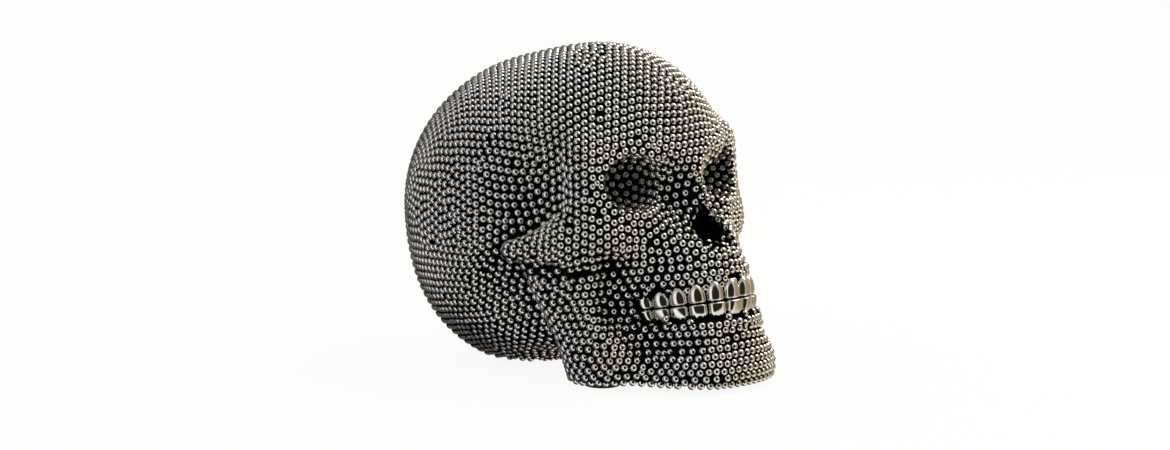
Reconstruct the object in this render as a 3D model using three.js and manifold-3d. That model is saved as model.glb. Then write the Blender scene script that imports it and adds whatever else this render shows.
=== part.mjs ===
// A studded decorative skull: a hollow cast cranium, a cast lower jaw that plugs into it from
// below, two rows of separate polished teeth on short roots, and felt pads under the resting faces.
// Millimetres, +Z up, the face looks along -Y, +X is the skull's own left.

import * as THREE from 'three';
import { mergeVertices } from 'three/addons/utils/BufferGeometryUtils.js';
import Module from 'manifold-3d';

const wasm = await Module();
wasm.setup();

// Fits between pieces
const SEAM_GAP = 0.4;
const TOOTH_GAP = 0.3;
const GLUE_GAP = 0.3;

// Cast wall of the cranium and the round opening in its base
const WALL = 5;
const BASE_HOLE_RADIUS = 7;
const BASE_HOLE_Y = 8;

// Felt pads
const PAD_THICKNESS = 1.2;
const PAD_RADIUS = 7;
const FLOOR_CLEARANCE = PAD_THICKNESS + GLUE_GAP;

// Braincase: the main egg, the low full back and the high forehead dome, as centres and half sizes
const BRAINCASE_CENTRE = [0, 20, 65];
const BRAINCASE_HALF = [62, 71, 64];
const LOW_BACK_CENTRE = [0, 35, 40];
const LOW_BACK_HALF = [48, 46, 41];
const FOREHEAD_CENTRE = [0, -3, 79];
const FOREHEAD_HALF = [49, 43, 52];
const BRAINCASE_BLEND = 15;

// Hollows pressed into the braincase: temple, the room behind the jaw, the arch under the base
const TEMPLE_CENTRE = [68, -14, 75];
const TEMPLE_HALF = [23, 25, 31];
const JAW_ROOM_CENTRE = [70, -14, 26];
const JAW_ROOM_HALF = [32, 34, 32];
const BASE_ARCH_CENTRE = [0, -6, -2];
const BASE_ARCH_HALF = [80, 19, 10];
const HOLLOW_BLEND = 12;

// Face: the block that carries it, the upper jaw and the cheeks that run back to the lower jaw
const FACE_CENTRE = [0, -13, 68];
const FACE_HALF = [38, 27, 38];
const UPPER_JAW_CENTRE = [0, -36.5, 48];
const UPPER_JAW_HALF = [25, 28.5, 24];
const CHEEK_CENTRE = [24, -26, 46];
const CHEEK_HALF = [18, 18, 20];
const FACE_BLEND = 10;

// Ridges, each a bar between two points with a radius at each end
const BROW_INNER = [12, -35, 93];
const BROW_OUTER = [36, -27, 92];
const BROW_RADIUS = 5.2;
const RIM_TOP = [41, -25, 92];
const RIM_FOOT = [43, -27, 66];
const RIM_RADIUS = 5.8;
const CHEEKBONE_FRONT = [35, -33, 60];
const CHEEKBONE_REAR = [49, -19, 58];
const CHEEKBONE_RADIUS = 7.5;
const ZYGOMA_REAR_RADIUS = 4.5;
const ZYGOMA_REAR = [BRAINCASE_HALF[0] - ZYGOMA_REAR_RADIUS, -1, 54];
const NOSE_TOP = [0, -30, 91];
const NOSE_TIP = [0, -49, 73];
const NOSE_RADIUS = 4.5;
const RIDGE_BLEND = 10;

// Hollows in the face: the slopes beside the nose, and a groove in front of a branch and under the teeth
const NOSE_SIDE_CENTRE = [13.5, -54, 77];
const NOSE_SIDE_HALF = [10, 13.5, 11];
const NOSE_SIDE_BLEND = 10;
const GROOVE_TOP = [38.5, -36.5, 47];
const GROOVE_BEND = [38, -40, 32];
const GROOVE_CORNER = [34, -50, 21];
const GROOVE_END = [25, -65, 20];
const GROOVE_RADIUS = 4;
const GROOVE_CORNER_RADIUS = 3;
const GROOVE_END_RADIUS = 2;
const GROOVE_BLEND = 9;

// Eye sockets and the pear-shaped nose opening
const SOCKET_CENTRE = [27, -35, 80.5];
const SOCKET_HALF = [12.5, 14.5, 11];
const NOSTRIL_CENTRE = [4.5, -59, 60.5];
const NOSTRIL_HALF = [5, 12, 6];
const NOSE_SLOT_CENTRE = [0, -57, 65];
const NOSE_SLOT_HALF = [4, 10, 7];

// Lower jaw: body, chin, lower edge and upper edge, then the rising branch as three bars
const JAW_BODY_CENTRE = [0, -40, 16];
const JAW_BODY_HALF = [30, 33, 30];
const CHIN_CENTRE = [0, -60, 6];
const CHIN_HALF = [22, 17, 13];
const JAW_EDGE_FRONT = [13, -60, 7];
const JAW_EDGE_REAR = [32, -26, 7];
const JAW_EDGE_RADIUS = 11;
const GUM_FRONT = [10, -54, 27];
const GUM_REAR = [25, -34, 26];
const GUM_FRONT_RADIUS = 10;
const GUM_REAR_RADIUS = 8;
const BRANCH_REAR_FOOT = [36, -24, 6];
const BRANCH_REAR_TOP = [49, -7, 48];
const BRANCH_MIDDLE_FOOT = [35, -33, 12];
const BRANCH_MIDDLE_TOP = [46, -20, 49];
const BRANCH_FRONT_FOOT = [31, -38, 18];
const BRANCH_FRONT_TOP = [38, -29, 46];
const BRANCH_FOOT_RADIUS = 8;
const BRANCH_TOP_RADIUS = 6.6;
const JAW_BLEND = 11;

// Bite: the plane between the rows of teeth rises towards the front of the tooth arch
const BITE_FRONT_Y = -70.5;
const BITE_FRONT_Z = 35.8;
const BITE_TILT = THREE.MathUtils.degToRad(9.65);
const BITE_REACH = 57;
const BITE_AHEAD = 20;
const ARCH_HALF_WIDTH = 25.5;
const ARCH_LENGTH = 33.5;
const TEETH_PER_SIDE = 6;
const TOOTH_DEPTH = 4.2;
const TOOTH_SQUARENESS = 2.7;
const UPPER_CROWN_FRONT = 7.4;
const UPPER_CROWN_REAR = 5.4;
const LOWER_CROWN = 5.9;
const ROOT_LENGTH = 3.5;
const ROOT_RADIUS = 1.3;
const BAND_OUTSET = 3;

// Outline of a crown from its biting edge to its neck, as shares of its height, width and depth
const CROWN_OUTLINE = [
  { height: 0, width: 0.78, depth: 0.6 },
  { height: 0.1, width: 0.95, depth: 0.82 },
  { height: 0.42, width: 1, depth: 1 },
  { height: 0.8, width: 0.88, depth: 0.9 },
  { height: 1, width: 0.6, depth: 0.66 },
];

// Gum: the horseshoe of resin that carries a row of teeth, upright beside them and then leaning in
const GUM_INSET = 0.6;
const GUM_STRAIGHT = 11.5;
const GUM_SLOPE = 0.9;
const GUM_HEIGHT = 17;
const GUM_BLEND = 7;

// Pegs between the castings, placed back from the front teeth
const PEG_RADIUS = 2.5;
const PEG_LENGTH = 16;
const PEG_X = 10;
const PEG_BACK = 30;

// Rounding where a form meets the resting plane
const FOOT_EDGE = 1.5;

// Points from which the two castings are measured outwards, and how finely
const CRANIUM_EYE = new THREE.Vector3(0, -4, 66);
const CAVITY_EYE = new THREE.Vector3(0, 14, 76);
const JAW_EYE = new THREE.Vector3(0, -38, 14);
const BRANCH_EYE = new THREE.Vector3(41, -24, 30);
const CRANIUM_GRID = { columns: 64, rows: 46, crowding: 0.4 };
const CAVITY_GRID = { columns: 24, rows: 14, crowding: 0 };
const JAW_GRID = { columns: 40, rows: 22, crowding: 0 };
const BRANCH_GRID = { columns: 20, rows: 16, crowding: 0 };
const RAY_STEP = 0.8;
const HALVINGS = 16;
const EGG_SIDES = 20;
const TOOTH_SIDES = 8;
const ROUND_SIDES = 20;

// Finishes
function finish(color, roughness, metalness) {
  return new THREE.MeshStandardMaterial({ color, roughness, metalness });
}

const studdedResin = () => finish(0x4a4744, 0.35, 0.85);
const polishedSilver = () => finish(0xd8d2c4, 0.12, 1);
const castPeg = () => finish(0x8f8a80, 0.6, 0);
const felt = () => finish(0x1b1b1c, 0.95, 0);

// Smooth joining and cutting of distances
function join(a, b, blend) {
  const h = Math.max(blend - Math.abs(a - b), 0) / blend;
  return Math.min(a, b) - (h * h * blend) / 4;
}

function cut(a, b, blend) {
  return -join(-a, b, blend);
}

// Distance to an ellipsoid with a centre and three half sizes
function egg(p, centre, half) {
  const inHalves = Math.hypot(
    (p.x - centre[0]) / half[0], (p.y - centre[1]) / half[1], (p.z - centre[2]) / half[2]);
  const slope = Math.hypot(
    (p.x - centre[0]) / half[0] ** 2, (p.y - centre[1]) / half[1] ** 2, (p.z - centre[2]) / half[2] ** 2);
  return slope > 0 ? (inHalves * (inHalves - 1)) / slope : -Math.min(...half);
}

// Distance to a round bar between two points, with a radius at each end
function bar(p, start, end, startRadius, endRadius) {
  const along = end.map((value, i) => value - start[i]);
  const offset = [p.x - start[0], p.y - start[1], p.z - start[2]];
  const dot = offset[0] * along[0] + offset[1] * along[1] + offset[2] * along[2];
  const share = THREE.MathUtils.clamp(dot / (along[0] ** 2 + along[1] ** 2 + along[2] ** 2), 0, 1);
  const away = Math.hypot(...offset.map((value, i) => value - share * along[i]));
  return away - THREE.MathUtils.lerp(startRadius, endRadius, share);
}

// Height of a point over the tilted bite plane, and its way back from the front of the tooth arch
function heightOverBite(p) {
  return (p.y - BITE_FRONT_Y) * Math.sin(BITE_TILT) + (p.z - BITE_FRONT_Z) * Math.cos(BITE_TILT);
}

function wayBack(p) {
  return (p.y - BITE_FRONT_Y) * Math.cos(BITE_TILT) - (p.z - BITE_FRONT_Z) * Math.sin(BITE_TILT);
}

// Distance to the room below the bite plane that the lower jaw fills
function belowBite(p) {
  return Math.max(heightOverBite(p) - SEAM_GAP, wayBack(p) - BITE_REACH);
}

// Distance to the horseshoe of gum on both sides of the bite plane
function gum(p) {
  const halfWidth = ARCH_HALF_WIDTH - GUM_INSET;
  const length = ARCH_LENGTH - GUM_INSET;
  const back = Math.min(wayBack(p) - ARCH_LENGTH, 0);
  const inHalves = Math.hypot(p.x / halfWidth, back / length);
  const slope = Math.hypot(p.x / halfWidth ** 2, back / length ** 2);
  const outward = slope > 0 ? (inHalves * (inHalves - 1)) / slope : -halfWidth;
  const height = Math.abs(heightOverBite(p));
  const leaning = outward + GUM_SLOPE * Math.max(height - GUM_STRAIGHT, 0);
  return Math.max(leaning, height - GUM_HEIGHT, wayBack(p) - ARCH_LENGTH);
}

// Distance to the groove that runs down in front of a branch of the jaw and on under the teeth
function groove(p) {
  const upper = bar(p, GROOVE_TOP, GROOVE_BEND, GROOVE_RADIUS, GROOVE_RADIUS);
  const middle = bar(p, GROOVE_BEND, GROOVE_CORNER, GROOVE_RADIUS, GROOVE_CORNER_RADIUS);
  const lower = bar(p, GROOVE_CORNER, GROOVE_END, GROOVE_CORNER_RADIUS, GROOVE_END_RADIUS);
  return join(join(upper, middle, GROOVE_BLEND), lower, GROOVE_BLEND);
}

function upperCrownHeight(back) {
  const share = THREE.MathUtils.clamp(back / ARCH_LENGTH, 0, 1);
  return THREE.MathUtils.lerp(UPPER_CROWN_FRONT, UPPER_CROWN_REAR, share);
}

// Outer form of the cranium with the face and upper jaw
function craniumForm(point) {
  const p = { x: Math.abs(point.x), y: point.y, z: point.z };
  let d = egg(p, BRAINCASE_CENTRE, BRAINCASE_HALF);
  d = join(d, egg(p, LOW_BACK_CENTRE, LOW_BACK_HALF), BRAINCASE_BLEND);
  d = join(d, egg(p, FOREHEAD_CENTRE, FOREHEAD_HALF), BRAINCASE_BLEND);
  d = cut(d, egg(p, TEMPLE_CENTRE, TEMPLE_HALF), HOLLOW_BLEND);
  d = cut(d, egg(p, JAW_ROOM_CENTRE, JAW_ROOM_HALF), HOLLOW_BLEND);
  d = cut(d, egg(p, BASE_ARCH_CENTRE, BASE_ARCH_HALF), HOLLOW_BLEND);
  d = join(d, egg(p, FACE_CENTRE, FACE_HALF), FACE_BLEND);
  d = join(d, egg(p, UPPER_JAW_CENTRE, UPPER_JAW_HALF), FACE_BLEND);
  d = join(d, egg(p, CHEEK_CENTRE, CHEEK_HALF), FACE_BLEND);
  d = join(d, gum(p), GUM_BLEND);
  d = join(d, bar(p, BROW_INNER, BROW_OUTER, BROW_RADIUS, BROW_RADIUS), RIDGE_BLEND);
  d = join(d, bar(p, RIM_TOP, RIM_FOOT, RIM_RADIUS, RIM_RADIUS), RIDGE_BLEND);
  d = join(d, bar(p, CHEEKBONE_FRONT, CHEEKBONE_REAR, CHEEKBONE_RADIUS, CHEEKBONE_RADIUS), RIDGE_BLEND);
  d = join(d, bar(p, NOSE_TOP, NOSE_TIP, NOSE_RADIUS, NOSE_RADIUS), RIDGE_BLEND);
  d = join(d, bar(p, CHEEKBONE_REAR, ZYGOMA_REAR, CHEEKBONE_RADIUS, ZYGOMA_REAR_RADIUS), RIDGE_BLEND);
  d = cut(d, egg(p, NOSE_SIDE_CENTRE, NOSE_SIDE_HALF), NOSE_SIDE_BLEND);
  d = cut(d, groove(p), GROOVE_BLEND);
  return cut(d, p.z - FLOOR_CLEARANCE, FOOT_EDGE);
}

// Outer form of the lower jaw without its rising branches
function jawForm(point) {
  const p = { x: Math.abs(point.x), y: point.y, z: point.z };
  let d = egg(p, JAW_BODY_CENTRE, JAW_BODY_HALF);
  d = join(d, egg(p, CHIN_CENTRE, CHIN_HALF), JAW_BLEND);
  d = join(d, bar(p, JAW_EDGE_FRONT, JAW_EDGE_REAR, JAW_EDGE_RADIUS, JAW_EDGE_RADIUS), JAW_BLEND);
  d = join(d, bar(p, GUM_FRONT, GUM_REAR, GUM_FRONT_RADIUS, GUM_REAR_RADIUS), JAW_BLEND);
  d = join(d, gum(p), GUM_BLEND);
  d = cut(d, groove(p), GROOVE_BLEND);
  d = Math.max(d, heightOverBite(p) + SEAM_GAP / 2);
  return cut(d, p.z - FLOOR_CLEARANCE, FOOT_EDGE);
}

// A branch of the jaw, rising from its corner to under the cheekbone
function branchForm(point) {
  const p = { x: Math.abs(point.x), y: point.y, z: point.z };
  const rear = bar(p, BRANCH_REAR_FOOT, BRANCH_REAR_TOP, BRANCH_FOOT_RADIUS, BRANCH_TOP_RADIUS);
  const middle = bar(p, BRANCH_MIDDLE_FOOT, BRANCH_MIDDLE_TOP, BRANCH_FOOT_RADIUS, BRANCH_TOP_RADIUS);
  const front = bar(p, BRANCH_FRONT_FOOT, BRANCH_FRONT_TOP, BRANCH_FOOT_RADIUS, BRANCH_TOP_RADIUS);
  const plate = join(join(rear, middle, JAW_BLEND), front, JAW_BLEND);
  return cut(cut(plate, groove(p), GROOVE_BLEND), p.z - FLOOR_CLEARANCE, FOOT_EDGE);
}

// Length along a ray at which it leaves the form
function rayLength(form, eye, direction) {
  const p = new THREE.Vector3();
  let outside = RAY_STEP;
  while (form(p.copy(direction).multiplyScalar(outside).add(eye)) < 0) outside += RAY_STEP;
  let inside = outside - RAY_STEP;
  for (let i = 0; i < HALVINGS; i += 1) {
    const middle = (inside + outside) / 2;
    if (form(p.copy(direction).multiplyScalar(middle).add(eye)) < 0) inside = middle;
    else outside = middle;
  }
  return (inside + outside) / 2;
}

// Closed skin of a form on a grid of directions seen from a point inside it; columns crowd to the face
function skin(form, eye, grid) {
  const positions = [];
  const indices = [];
  const place = (polar, turn) => {
    const direction = new THREE.Vector3(
      Math.sin(polar) * Math.sin(turn), -Math.sin(polar) * Math.cos(turn), Math.cos(polar));
    const length = rayLength(form, eye, direction);
    positions.push(...direction.multiplyScalar(length).add(eye).toArray());
  };
  place(0, 0);
  for (let row = 1; row < grid.rows; row += 1) {
    for (let column = 0; column < grid.columns; column += 1) {
      const even = (2 * Math.PI * column) / grid.columns;
      place((Math.PI * row) / grid.rows, even - grid.crowding * Math.sin(even));
    }
  }
  place(Math.PI, 0);
  const last = positions.length / 3 - 1;
  const at = (row, column) => 1 + (row - 1) * grid.columns + (column % grid.columns);
  for (let column = 0; column < grid.columns; column += 1) {
    indices.push(0, at(1, column), at(1, column + 1));
    for (let row = 1; row < grid.rows - 1; row += 1) {
      indices.push(at(row, column), at(row + 1, column), at(row + 1, column + 1));
      indices.push(at(row, column), at(row + 1, column + 1), at(row, column + 1));
    }
    indices.push(last, at(grid.rows - 1, column + 1), at(grid.rows - 1, column));
  }
  return geometryFrom(positions, indices);
}

// Closed solid through level sections; each level has a height and a half width and depth
function loft(levels, sides, squareness) {
  const positions = [0, 0, levels[0].z];
  const indices = [];
  const round = (value) => Math.sign(value) * Math.abs(value) ** (2 / squareness);
  for (const level of levels) {
    for (let side = 0; side < sides; side += 1) {
      const turn = (2 * Math.PI * side) / sides;
      const x = level.halfWidth * round(Math.cos(turn));
      const y = level.halfDepth * round(Math.sin(turn));
      positions.push(x, y, level.z);
    }
  }
  positions.push(0, 0, levels[levels.length - 1].z);
  const last = positions.length / 3 - 1;
  const at = (level, side) => 1 + level * sides + (side % sides);
  for (let side = 0; side < sides; side += 1) {
    indices.push(0, at(0, side + 1), at(0, side));
    for (let level = 0; level < levels.length - 1; level += 1) {
      indices.push(at(level, side), at(level, side + 1), at(level + 1, side + 1));
      indices.push(at(level, side), at(level + 1, side + 1), at(level + 1, side));
    }
    indices.push(last, at(levels.length - 1, side), at(levels.length - 1, side + 1));
  }
  return geometryFrom(positions, indices);
}

function geometryFrom(positions, indices) {
  const geometry = new THREE.BufferGeometry();
  geometry.setAttribute('position', new THREE.Float32BufferAttribute(positions, 3));
  geometry.setIndex(indices);
  return geometry;
}

function solidFrom(geometry) {
  const bare = geometry.clone();
  bare.deleteAttribute('normal');
  bare.deleteAttribute('uv');
  const merged = mergeVertices(bare);
  const mesh = new wasm.Mesh({
    numProp: 3,
    vertProperties: new Float32Array(merged.attributes.position.array),
    triVerts: new Uint32Array(merged.index.array),
  });
  return new wasm.Manifold(mesh);
}

function geometryOf(solid) {
  const mesh = solid.getMesh();
  return geometryFrom(Array.from(mesh.vertProperties), Array.from(mesh.triVerts));
}

function piece(name, geometry, material) {
  const mesh = new THREE.Mesh(geometry, material);
  mesh.name = name;
  return mesh;
}

// Places of the teeth on one side, at equal steps along the middle line of the arch
function toothPlaces() {
  const middle = new THREE.EllipseCurve(
    0, ARCH_LENGTH, ARCH_HALF_WIDTH - TOOTH_DEPTH / 2, ARCH_LENGTH - TOOTH_DEPTH / 2,
    -Math.PI / 2, 0);
  const pitch = middle.getLength() / TEETH_PER_SIDE;
  const places = [];
  for (let i = 0; i < TEETH_PER_SIDE; i += 1) {
    const share = (i + 0.5) / TEETH_PER_SIDE;
    const spot = middle.getPointAt(share);
    const tangent = middle.getTangentAt(share);
    places.push({ x: spot.x, back: spot.y, turn: Math.atan2(tangent.y, tangent.x), pitch });
  }
  return places;
}

// Moves something made over a level bite plane onto the tilted one
function ontoBite(geometry) {
  geometry.rotateX(-BITE_TILT);
  geometry.translate(0, BITE_FRONT_Y, BITE_FRONT_Z);
  return geometry;
}

// Stands something made upright at a tooth's place; upper teeth point up, lower teeth down
function standAtBite(geometry, place, side, isUpper) {
  if (!isUpper) geometry.rotateX(Math.PI);
  geometry.rotateZ(side * place.turn);
  geometry.translate(side * place.x, place.back, 0);
  return ontoBite(geometry);
}

// The horseshoe recess that a row of teeth stands in, from the bite plane to past the crowns
function toothBand(isUpper) {
  const arc = (shape, inset, clockwise) => {
    const ends = clockwise ? [0, Math.PI] : [Math.PI, 0];
    shape.absellipse(0, ARCH_LENGTH, ARCH_HALF_WIDTH - inset, ARCH_LENGTH - inset, ...ends, clockwise);
  };
  const shape = new THREE.Shape();
  arc(shape, -BAND_OUTSET, false);
  arc(shape, TOOTH_DEPTH + TOOTH_GAP, true);
  const extrusion = { depth: 1, bevelEnabled: false, curveSegments: ROUND_SIDES };
  const geometry = new THREE.ExtrudeGeometry(shape, extrusion);
  const spots = geometry.attributes.position;
  for (let i = 0; i < spots.count; i += 1) {
    const crown = isUpper ? upperCrownHeight(spots.getY(i)) : LOWER_CROWN;
    const isFar = spots.getZ(i) > 0 === isUpper;
    const height = isFar ? crown + TOOTH_GAP : -SEAM_GAP;
    spots.setZ(i, isUpper ? height : -height);
  }
  return ontoBite(geometry);
}

// A tooth: a full crown that narrows to a short round root
function toothGeometry(pitch, crown) {
  const halfWidth = (pitch - TOOTH_GAP) / 2;
  const halfDepth = TOOTH_DEPTH / 2;
  const bottom = TOOTH_GAP / 2;
  const levels = CROWN_OUTLINE.map((share) => ({
    z: THREE.MathUtils.lerp(bottom, crown, share.height),
    halfWidth: share.width * halfWidth,
    halfDepth: share.depth * halfDepth,
  }));
  levels.push({ z: crown + TOOTH_GAP, halfWidth: ROOT_RADIUS, halfDepth: ROOT_RADIUS });
  levels.push({ z: crown + ROOT_LENGTH, halfWidth: ROOT_RADIUS, halfDepth: ROOT_RADIUS });
  return loft(levels, TOOTH_SIDES, TOOTH_SQUARENESS);
}

// The hole that a root stands in, wider than the root by the gap all round
function rootHole(crown) {
  const radius = ROOT_RADIUS + TOOTH_GAP;
  return loft([
    { z: crown - TOOTH_GAP, halfWidth: radius, halfDepth: radius },
    { z: crown + ROOT_LENGTH + TOOTH_GAP, halfWidth: radius, halfDepth: radius },
  ], TOOTH_SIDES, TOOTH_SQUARENESS);
}

// Every tooth of both rows, with the side it stands on and its crown height
function allTeeth() {
  const teeth = [];
  for (const isUpper of [true, false]) {
    for (const side of [-1, 1]) {
      toothPlaces().forEach((place, index) => {
        const crown = isUpper ? upperCrownHeight(place.back) : LOWER_CROWN;
        teeth.push({ isUpper, side, place, index, crown });
      });
    }
  }
  return teeth;
}

function roundBar(radius, bottom, top, x, y) {
  const geometry = new THREE.CylinderGeometry(radius, radius, top - bottom, ROUND_SIDES);
  geometry.rotateX(Math.PI / 2);
  geometry.translate(x, y, (bottom + top) / 2);
  return geometry;
}

// Egg-shaped solids pressed into the face: two eye sockets, two nostrils and the slot above them
function faceHollows() {
  const mirrored = ([x, y, z]) => [-x, y, z];
  return [
    eggSolid(SOCKET_CENTRE, SOCKET_HALF),
    eggSolid(mirrored(SOCKET_CENTRE), SOCKET_HALF),
    eggSolid(NOSTRIL_CENTRE, NOSTRIL_HALF),
    eggSolid(mirrored(NOSTRIL_CENTRE), NOSTRIL_HALF),
    eggSolid(NOSE_SLOT_CENTRE, NOSE_SLOT_HALF),
  ];
}

function eggSolid(centre, half) {
  const geometry = new THREE.SphereGeometry(1, EGG_SIDES, EGG_SIDES / 2);
  geometry.rotateX(Math.PI / 2);
  geometry.scale(...half);
  geometry.translate(...centre);
  return solidFrom(geometry);
}

// Inside of the cranium, a wall away from its outside, from the eye sockets and from the jaw
function cavityForm(point) {
  const p = { x: Math.abs(point.x), y: point.y, z: point.z };
  const nearest = Math.min(
    egg(p, SOCKET_CENTRE, SOCKET_HALF),
    egg(p, NOSE_SLOT_CENTRE, NOSE_SLOT_HALF),
    egg(p, NOSTRIL_CENTRE, NOSTRIL_HALF),
    belowBite(p),
    jawForm(p),
    branchForm(p),
  );
  return Math.max(craniumForm(p) + WALL, WALL - nearest);
}

// The room below the bite plane, as a block wider than the face
function biteBlock() {
  const height = 2 * BITE_FRONT_Z;
  const geometry = new THREE.BoxGeometry(2 * BRAINCASE_HALF[0], BITE_REACH + BITE_AHEAD, height);
  geometry.translate(0, (BITE_REACH - BITE_AHEAD) / 2, SEAM_GAP - height / 2);
  return solidFrom(ontoBite(geometry));
}

// Hollow cranium: skin less cavity, base hole, face hollows, room for the jaw, seats and peg holes
function craniumSolid(teeth) {
  let solid = solidFrom(skin(craniumForm, CRANIUM_EYE, CRANIUM_GRID));
  solid = solid.subtract(solidFrom(skin(cavityForm, CAVITY_EYE, CAVITY_GRID)));
  solid = solid.subtract(solidFrom(roundBar(BASE_HOLE_RADIUS, 0, CAVITY_EYE.z, 0, BASE_HOLE_Y)));
  for (const hollow of faceHollows()) solid = solid.subtract(hollow);
  solid = solid.subtract(biteBlock()).subtract(jawBlock(SEAM_GAP));
  return withPegHoles(withTeethSeats(solid, teeth.filter((tooth) => tooth.isUpper)));
}

// The lower jaw as one block with its branches, grown all round by a margin
function jawBlock(margin) {
  let solid = solidFrom(skin((p) => jawForm(p) - margin, JAW_EYE, JAW_GRID));
  for (const side of [-1, 1]) {
    const eye = new THREE.Vector3(side * BRANCH_EYE.x, BRANCH_EYE.y, BRANCH_EYE.z);
    solid = solid.add(solidFrom(skin((p) => branchForm(p) - margin, eye, BRANCH_GRID)));
  }
  return solid;
}

function jawSolid(teeth) {
  return withPegHoles(withTeethSeats(jawBlock(0), teeth.filter((tooth) => !tooth.isUpper)));
}

// Pegs that stand across the seam between the two castings and hold the jaw in place
function pegGeometry(side, margin) {
  const reach = PEG_LENGTH / 2 + margin;
  return ontoBite(roundBar(PEG_RADIUS + margin, -reach, reach, side * PEG_X, PEG_BACK));
}

function withPegHoles(solid) {
  return solid.subtract(solidFrom(pegGeometry(-1, GLUE_GAP))).subtract(solidFrom(pegGeometry(1, GLUE_GAP)));
}

// A casting clear of both rows of teeth, with a hole for each root that it holds
function withTeethSeats(solid, teeth) {
  let drilled = solid.subtract(solidFrom(toothBand(true))).subtract(solidFrom(toothBand(false)));
  for (const tooth of teeth) {
    const hole = standAtBite(rootHole(tooth.crown), tooth.place, tooth.side, tooth.isUpper);
    drilled = drilled.subtract(solidFrom(hole));
  }
  return drilled;
}

// Felt pads under the chin, the two jaw corners and the back of the head
const PADS = [
  { name: 'pad_chin', x: CHIN_CENTRE[0], y: CHIN_CENTRE[1] },
  { name: 'pad_jaw_right', x: -JAW_EDGE_REAR[0], y: JAW_EDGE_REAR[1] },
  { name: 'pad_jaw_left', x: JAW_EDGE_REAR[0], y: JAW_EDGE_REAR[1] },
  { name: 'pad_back', x: BRAINCASE_CENTRE[0], y: LOW_BACK_CENTRE[1] },
];

const skull = new THREE.Group();
const teeth = allTeeth();
skull.add(piece('cranium_shell', geometryOf(craniumSolid(teeth)), studdedResin()));
skull.add(piece('lower_jaw', geometryOf(jawSolid(teeth)), studdedResin()));
for (const tooth of teeth) {
  const row = tooth.isUpper ? 'upper' : 'lower';
  const side = tooth.side < 0 ? 'right' : 'left';
  const upright = toothGeometry(tooth.place.pitch, tooth.crown);
  const geometry = standAtBite(upright, tooth.place, tooth.side, tooth.isUpper);
  skull.add(piece(`tooth_${row}_${side}_${tooth.index + 1}`, geometry, polishedSilver()));
}
for (const side of [-1, 1]) {
  skull.add(piece(side < 0 ? 'jaw_peg_right' : 'jaw_peg_left', pegGeometry(side, 0), castPeg()));
}
for (const pad of PADS) {
  skull.add(piece(pad.name, roundBar(PAD_RADIUS, 0, PAD_THICKNESS, pad.x, pad.y), felt()));
}

// The finished part stands on the floor with its box centred over the origin
const box = new THREE.Box3().setFromObject(skull);
const centre = box.getCenter(new THREE.Vector3());
skull.position.set(-centre.x, -centre.y, -box.min.z);

export default skull;
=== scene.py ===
# %% [markdown]
# # A studded table skull
# The object is a cast skull for a shelf or mantel. Every part of its skin carries small polished ball
# studs over a blackened ground, and two rows of smooth silver teeth are set into a closed bite. The
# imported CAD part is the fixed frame: it gives the size and the place of each piece, and the cells below
# dress it with the studs, the blackened ground, the teeth and the felt pads.

import bpy
import numpy as np
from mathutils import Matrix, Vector


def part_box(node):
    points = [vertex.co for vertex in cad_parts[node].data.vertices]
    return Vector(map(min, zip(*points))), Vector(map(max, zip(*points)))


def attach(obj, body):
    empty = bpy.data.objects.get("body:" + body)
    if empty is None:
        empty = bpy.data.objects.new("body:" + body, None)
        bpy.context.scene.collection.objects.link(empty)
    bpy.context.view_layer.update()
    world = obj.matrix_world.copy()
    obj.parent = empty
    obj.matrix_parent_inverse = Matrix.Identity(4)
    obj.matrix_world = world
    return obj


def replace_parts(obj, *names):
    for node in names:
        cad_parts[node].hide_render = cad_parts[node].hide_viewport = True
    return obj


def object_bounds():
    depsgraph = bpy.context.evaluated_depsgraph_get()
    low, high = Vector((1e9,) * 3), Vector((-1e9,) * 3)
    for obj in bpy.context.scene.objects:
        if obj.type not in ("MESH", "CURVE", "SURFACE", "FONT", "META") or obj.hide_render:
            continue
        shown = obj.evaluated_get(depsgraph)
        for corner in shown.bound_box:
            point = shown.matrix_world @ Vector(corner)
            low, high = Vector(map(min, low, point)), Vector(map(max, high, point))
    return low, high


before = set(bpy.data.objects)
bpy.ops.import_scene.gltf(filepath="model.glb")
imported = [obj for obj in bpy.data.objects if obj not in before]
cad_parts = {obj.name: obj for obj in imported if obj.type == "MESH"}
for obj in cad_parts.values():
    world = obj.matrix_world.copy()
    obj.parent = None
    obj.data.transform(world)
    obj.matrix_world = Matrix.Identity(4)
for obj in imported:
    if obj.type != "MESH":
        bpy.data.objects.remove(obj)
cad_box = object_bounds()
MM = 0.001
print("CAD box in mm:", [[round(value / MM, 1) for value in corner] for corner in cad_box])

# %% [markdown]
# ## The camera
# The skull is seen from its own right front, a little from above, with a long lens. The lens, the angle
# and the small shift put the outline of the head where it lies in the picture.

# %% Place the camera
PICTURE_WIDTH = 1170
SENSOR_WIDTH = 36.0
VIEW_TURN = np.radians(-50)
VIEW_RISE = np.radians(7)
VIEW_DISTANCE = 1100.0
VIEW_HEIGHT = 70.0
PIXELS_PER_MM = 2.46
TARGET_RIGHT_PIXELS = 19.0
TARGET_UP_PIXELS = 28.6

# The rear pad sits under the middle of the low back of the head, 35 mm behind the form's own zero
LOW_BACK_Y = 35.0
pad_low, pad_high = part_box("pad_back")
FORM_SHIFT = np.array([0.0, (pad_low.y + pad_high.y) / 2 / MM - LOW_BACK_Y, 0.0])

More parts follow.
